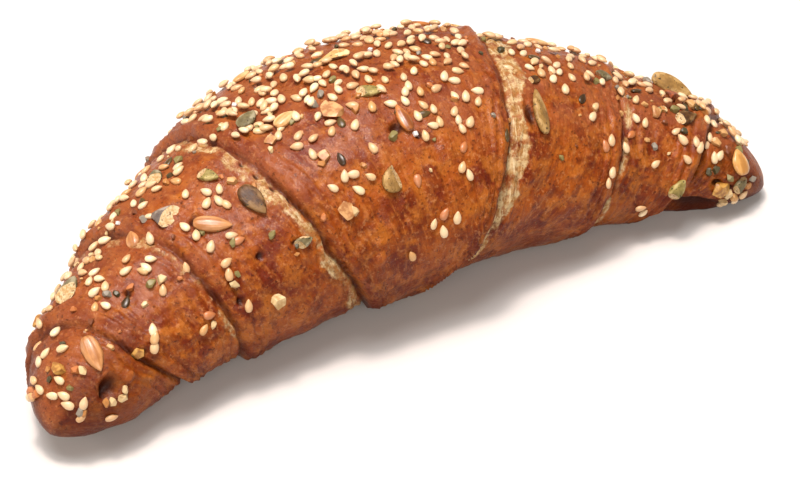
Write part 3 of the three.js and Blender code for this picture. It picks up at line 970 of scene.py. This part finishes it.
def sesame_skin():
    """Hulled sesame: smooth cream, toasted tan in part, browner at the point, with a satin shine.
    The attribute "glaze" says how far egg wash ran over a seed."""
    material, tree, place = seed_material("toasted_sesame")
    tone = add_node(tree, "ShaderNodeAttribute", {}, attribute_name="tone").outputs["Fac"]
    glaze = add_node(tree, "ShaderNodeAttribute", {}, attribute_name="glaze").outputs["Fac"]
    tip = add_node(tree, "ShaderNodeSeparateXYZ", {"Vector": place}).outputs["X"]
    to_tip = add_node(tree, "ShaderNodeMapRange", {
        "Value": tip, "From Min": 0.2 * MM, "From Max": 1.6 * MM, "To Min": 0, "To Max": 0.5,
    }).outputs["Result"]
    colour = srgb("#E0CAA4")
    for share, browner in ((tone, "#C4965F"), (to_tip, "#B88550"), (glaze, "#A85A28")):
        colour = add_node(tree, "ShaderNodeMix", {
            MIX_FACTOR: share, MIX_A: colour, MIX_B: srgb(browner),
        }, data_type="RGBA").outputs[MIX_RESULT]
    shader = add_node(tree, "ShaderNodeBsdfPrincipled", {
        "Base Color": colour, "Roughness": 0.38, "IOR": 1.45, "Coat Weight": 0.2, "Coat Roughness": 0.2,
    })
    add_node(tree, "ShaderNodeOutputMaterial", {"Surface": shader.outputs["BSDF"]})
    return material


sesame_template = as_mesh(drop_shape(12, 8, 0.42), "sesame_template", SESAME_SIZE, True)
sesame_seeds = []
for along, around, turn, lift, glaze in sesame_spots:
    size = sesame_draw.uniform(0.88, 1.1)
    lean = sesame_draw.gauss(0, 8) + (sesame_draw.uniform(-30, 30) if lift > 0.3 else 0)
    matrix = crust_frame(along, around, turn, lean, lift + SESAME_RISE * SESAME_SIZE[2])
    tone = min(max(sesame_draw.gauss(0.35, 0.3), 0), 1)
    sesame_seeds.append((matrix @ Matrix.Scale(size, 4), 0, {"tone": tone, "glaze": glaze}))
scatter("toasted_sesame_seeds", sesame_seeds, [sesame_template], sesame_skin())

# ---------------------------------------------------------------- linseeds
# Brown linseeds: small, flat, very smooth drops under 4 mm long, some nearly black.

LINSEED_SIZE = (3.6, 2.0, 0.9)
LINSEED_PLACES = [
    (-82, 76, 20), (-16, 72, 80), (5, 62, 0), (53.5, 70, 60), (-22, 58, 85), (-30, 100, 40), (-8, 110, 10),
    (18, 104, 120), (8, 120, 60), (44, 96, 10), (70, 92, 30), (-60, 112, 50), (26, 46, 70), (-48, 120, 15),
    (-12, 128, 80), (60, 150, 20), (-30, 160, 0), (86, 100, 60),
]


def linseed_skin():
    """Linseed hull: dark brown, thin and glossy."""
    material, tree, place = seed_material("linseed_hull")
    tone = add_node(tree, "ShaderNodeAttribute", {}, attribute_name="tone").outputs["Fac"]
    mottle = add_node(tree, "ShaderNodeTexNoise", {
        "Vector": place, "Scale": 1 / (1.2 * MM), "Detail": 3,
    }).outputs["Fac"]
    share = add_node(tree, "ShaderNodeMath", {0: mottle, 1: tone}, operation="MULTIPLY").outputs[0]
    colour = add_node(tree, "ShaderNodeMix", {
        MIX_FACTOR: share, MIX_A: srgb("#2A1408"), MIX_B: srgb("#6E5A2E"),
    }, data_type="RGBA").outputs[MIX_RESULT]
    shader = add_node(tree, "ShaderNodeBsdfPrincipled", {
        "Base Color": colour, "Roughness": 0.3, "IOR": 1.48,
    })
    add_node(tree, "ShaderNodeOutputMaterial", {"Surface": shader.outputs["BSDF"]})
    return material


linseed_draw = random.Random(9)
linseed_template = as_mesh(drop_shape(14, 9, 0.5), "linseed_template", LINSEED_SIZE, True)
linseeds = []
for along, around, turn in LINSEED_PLACES:
    matrix = crust_frame(along, around, turn, linseed_draw.gauss(0, 10), 0.15)
    linseeds.append((matrix, 0, {"tone": linseed_draw.uniform(0.2, 1)}))
scatter("brown_linseeds", linseeds, [linseed_template], linseed_skin())

# ---------------------------------------------------------------- crumbs of seed
# Splinters and crumbs of the same seeds and nuts, 1 to 3 mm across, stuck all over the glaze and
# thickest over the top.

CRUMB_COLOURS = ["#BC8E58", "#A87038", "#C4A87A", "#786C3C", "#40381C", "#82786A", "#AC6634", "#6E3818"]
SPRINKLED_COLOURS = [0, 1, 2, 0, 1, 5, 6, 7, 6, 3, 4]  # how often each comes up in a sprinkled zone
# Crumbs set one by one: along, around, size in mm, colour.
CRUMB_PLACES = [
    (-58.8, 70, 2.0, 3), (-56, 55, 2.6, 3), (-61.5, 37, 2.9, 2), (-59.5, 40, 2.0, 3),
    (-45.5, 79, 2.8, 0), (-46, 85, 1.6, 6), (-47.5, 113, 3.2, 3), (-53.5, 108, 2.2, 1),
    (-83, 90, 2.4, 5), (-81.8, 85, 2.0, 4), (-78.5, 80, 2.4, 6), (-75.3, 71, 3.0, 3), (-73, 68, 2.9, 2),
    (-102, 110, 1.7, 1), (-103.5, 104, 1.8, 4), (-103.5, 72, 1.9, 3), (-100.5, 76, 2.6, 6),
    (-100, 69, 2.8, 2), (-105.4, 33, 2.6, 5), (-105, 26, 2.4, 1), (-105.7, 130, 2.8, 6),
    (-96.5, 20, 2.4, 2), (-97.8, 14, 2.6, 2), (-99.8, 15, 2.6, 2), (-101, 20, 2.4, 1),
    (-104.5, 152, 2.8, 6), (-57, 74, 2.6, 4), (-64, 80, 1.4, 7), (-43, 34, 1.8, 4), (-70, 20, 2.2, 2),
    (-26, 36, 3.0, 2), (-47, 46, 2.6, 3), (94, -8, 3.0, 2), (95.5, -15, 3.0, 0), (93, -24, 2.8, 2),
    (88, 24, 2.6, 4), (90, 66, 3.2, 0), (93, 62, 2.8, 7), (96, 70, 3.0, 3), (98, 55, 2.6, 4),
    (84, 100, 3.4, 0), (87, 96, 3.0, 1), (81, 96, 3.0, 7), (79, 82, 3.2, 3), (100, 30, 2.4, 5),
    (92, 84, 2.8, 0), (96, 86, 2.4, 2), (99, 10, 2.4, 1), (86, 34, 1.8, 7), (76, 78, 2.2, 1),
    (81, 62, 2.6, 4), (84, 82, 2.6, 3), (59, 87, 2.4, 3), (-18, 86, 3.0, 5), (-15, 88, 2.6, 5),
    (-11, 74, 2.6, 1), (-6, 57, 3.4, 3), (74, 120, 3.0, 5), (-27, 60, 2.2, 1), (90, 30, 2.6, 4),
    (94, 22, 2.6, 3), (96, 40, 2.2, 2), (82, 90, 3.0, 4), (78, 86, 2.6, 7), (-10, 92, 2.8, 3),
    (-1, 66, 2.6, 4), (-89, 40, 2.0, 3), (-56, 66, 2.0, 3), (-64, 102, 2.6, 5), (36, 100, 2.6, 4),
    (-70, 60, 1.6, 6), (-80, 64, 2.0, 2), (64, 66, 1.8, 0), (76, 66, 1.8, 7),
]
# Sprinkled zones: along from and to, around from and to, crumbs.
CRUMB_ZONES = [
    (-100, -38, 84, 150, 30), (-38, 30, 80, 150, 60), (32, 98, 76, 150, 45), (-98, 96, 30, 84, 26),
    (-95, 92, 150, 205, 30),
]
CRUMB_SHAPE = (1.0, 0.75, 0.6)  # length, width and thickness of a crumb of size 1
CRUMB_RISE = 0.12  # height of a crumb's middle over the crust, over its size


def crumb_skin():
    """Broken seed: dry and matt. Each crumb has one of the seeds' own colours."""
    material, tree, place = seed_material("broken_seed_crumb")
    channels = {}
    for name in ("red", "green", "blue"):
        channel = add_node(tree, "ShaderNodeAttribute", {}, attribute_name=name)
        channels[name.capitalize()] = channel.outputs["Fac"]
    base = add_node(tree, "ShaderNodeCombineColor", channels).outputs["Color"]
    mottle = add_node(tree, "ShaderNodeTexNoise", {
        "Vector": place, "Scale": 1 / (0.7 * MM), "Detail": 3,
    }).outputs["Fac"]
    share = add_node(tree, "ShaderNodeMapRange", {
        "Value": mottle, "From Min": 0.5, "From Max": 0.7, "To Max": 0.5,
    }).outputs["Result"]
    colour = add_node(tree, "ShaderNodeMix", {
        MIX_FACTOR: share, MIX_A: base, MIX_B: srgb("#7A4A20"),
    }, data_type="RGBA").outputs[MIX_RESULT]
    shader = add_node(tree, "ShaderNodeBsdfPrincipled", {
        "Base Color": colour, "Roughness": 0.5, "IOR": 1.45, "Coat Weight": 0.12, "Coat Roughness": 0.25,
    })
    add_node(tree, "ShaderNodeOutputMaterial", {"Surface": shader.outputs["BSDF"]})
    return material


crumb_draw = random.Random(21)
crumb_templates = [
    as_mesh(chip_shape(crumb_draw, cuts, 1, 0), f"crumb_template_{cuts}", CRUMB_SHAPE, False)
    for cuts in (3, 4, 5, 6)
]
crumb_spots = list(CRUMB_PLACES)
for start, end, front, back, count in CRUMB_ZONES:
    for _ in range(count):
        along, around = crumb_draw.uniform(start, end), crumb_draw.uniform(front, back)
        size = crumb_draw.uniform(0.9, 2.3)
        crumb_spots.append((along, around, size, crumb_draw.choice(SPRINKLED_COLOURS)))
crumbs = []
for along, around, size, colour_number in crumb_spots:
    turn, lean = crumb_draw.uniform(0, 360), crumb_draw.uniform(-25, 25)
    matrix = crust_frame(along, around, turn, lean, CRUMB_RISE * size)
    red, green, blue, _ = srgb(CRUMB_COLOURS[colour_number])
    template = crumb_draw.randrange(len(crumb_templates))
    crumbs.append((matrix @ Matrix.Scale(size, 4), template, {"red": red, "green": green, "blue": blue}))
scatter("crumbs_of_seed", crumbs, crumb_templates, crumb_skin())

# ---------------------------------------------------------------- salt
# A few salt crystals, broken cubes about 1 mm across, that stayed on the glaze.

SALT_PLACES = [(0, 55, 1.2), (4, 104, 1.1), (-30, 112, 1.2), (46, 104, 1.1), (-66, 118, 1.0)]


def salt():
    """Salt crystal: clear to milky white, glassy faces."""
    material, tree, place = seed_material("coarse_salt")
    cloudy = add_node(tree, "ShaderNodeTexNoise", {
        "Vector": place, "Scale": 1 / (0.6 * MM), "Detail": 3,
    }).outputs["Fac"]
    colour = add_node(tree, "ShaderNodeMix", {
        MIX_FACTOR: cloudy, MIX_A: srgb("#D5CBC4"), MIX_B: srgb("#FFFFFF"),
    }, data_type="RGBA").outputs[MIX_RESULT]
    shader = add_node(tree, "ShaderNodeBsdfPrincipled", {
        "Base Color": colour, "Roughness": 0.15, "IOR": 1.54, "Transmission Weight": 0.25,
    })
    add_node(tree, "ShaderNodeOutputMaterial", {"Surface": shader.outputs["BSDF"]})
    return material


salt_draw = random.Random(3)
salt_cube = bmesh.new()
bmesh.ops.create_cube(salt_cube, size=2)
bmesh.ops.bevel(salt_cube, geom=salt_cube.edges[:], offset=0.3, offset_type="OFFSET", segments=1,
                profile=0.5, affect="EDGES", material=-1)
salt_template = as_mesh(salt_cube, "salt_template", (1, 0.9, 0.8), False)
crystals = []
for along, around, size in SALT_PLACES:
    matrix = crust_frame(along, around, salt_draw.uniform(0, 360), salt_draw.uniform(-30, 30), 0.3 * size)
    crystals.append((matrix @ Matrix.Scale(size, 4), 0, {"tone": 1.0}))
scatter("salt_crystals", crystals, [salt_template], salt())
for template in (sesame_template, linseed_template, salt_template, *crumb_templates):
    bpy.data.meshes.remove(template)

# ---------------------------------------------------------------- the table and the light
# A matt white table under a large soft light, so that the croissant's shadow falls softly to the
# front. A small bright lamp beside it draws the gloss of the egg wash, and two soft lights fill from
# the front and the left.

TABLE_SIZE = 6.0  # metres


def build_table():
    bm = bmesh.new()
    bmesh.ops.create_grid(bm, x_segments=1, y_segments=1, size=TABLE_SIZE / 2)
    piece = make_piece(bm, "table")
    material, tree = new_material("white_matt_board")
    shader = add_node(tree, "ShaderNodeBsdfPrincipled", {
        "Base Color": srgb("#CFCCCA"), "Roughness": 0.95, "Specular IOR Level": 0.1,
    })
    add_node(tree, "ShaderNodeOutputMaterial", {"Surface": shader.outputs["BSDF"]})
    piece.data.materials.append(material)
    return piece


build_table()


def soft_light(name, place, size, power, colour):
    lamp = bpy.data.lights.new(name, "AREA")
    lamp.shape = "RECTANGLE"
    lamp.size, lamp.size_y = size
    lamp.energy = power
    lamp.color = srgb(colour)[:3]
    piece = bpy.data.objects.new(name, lamp)
    piece.location = place
    piece.rotation_euler = (-Vector(place)).to_track_quat("-Z", "Y").to_euler()
    bpy.context.scene.collection.objects.link(piece)


soft_light("softbox_above", (-0.06, 0.1, 1.2), (0.85, 0.75), 16, "#FFFFFF")
soft_light("softbox_front", (-0.5, -1.0, 0.7), (0.8, 0.6), 8, "#FFF8F0")
soft_light("lamp_above", (-0.1, 0.06, 1.0), (0.16, 0.14), 7, "#FFEEE4")
soft_light("softbox_left", (-1.0, 0.45, 0.4), (0.5, 0.4), 3, "#FFF0E0")

world = bpy.data.worlds.new("studio")
world.use_nodes = True
world.node_tree.nodes["Background"].inputs["Color"].default_value = srgb("#FFF2E8")
world.node_tree.nodes["Background"].inputs["Strength"].default_value = 0.28
bpy.context.scene.world = world
bpy.context.scene.view_settings.view_transform = "Standard"

camera = bpy.data.objects.new("camera", bpy.data.cameras.new("camera"))
camera.data.lens = 100
camera.data.sensor_width = 36
camera.location = (-0.2029, -0.3827, 0.3648)
aim = Vector((0.0023, -0.0133, 0.0091))
camera.rotation_euler = (aim - camera.location).to_track_quat("-Z", "Y").to_euler()
bpy.context.scene.collection.objects.link(camera)
bpy.context.scene.camera = camera
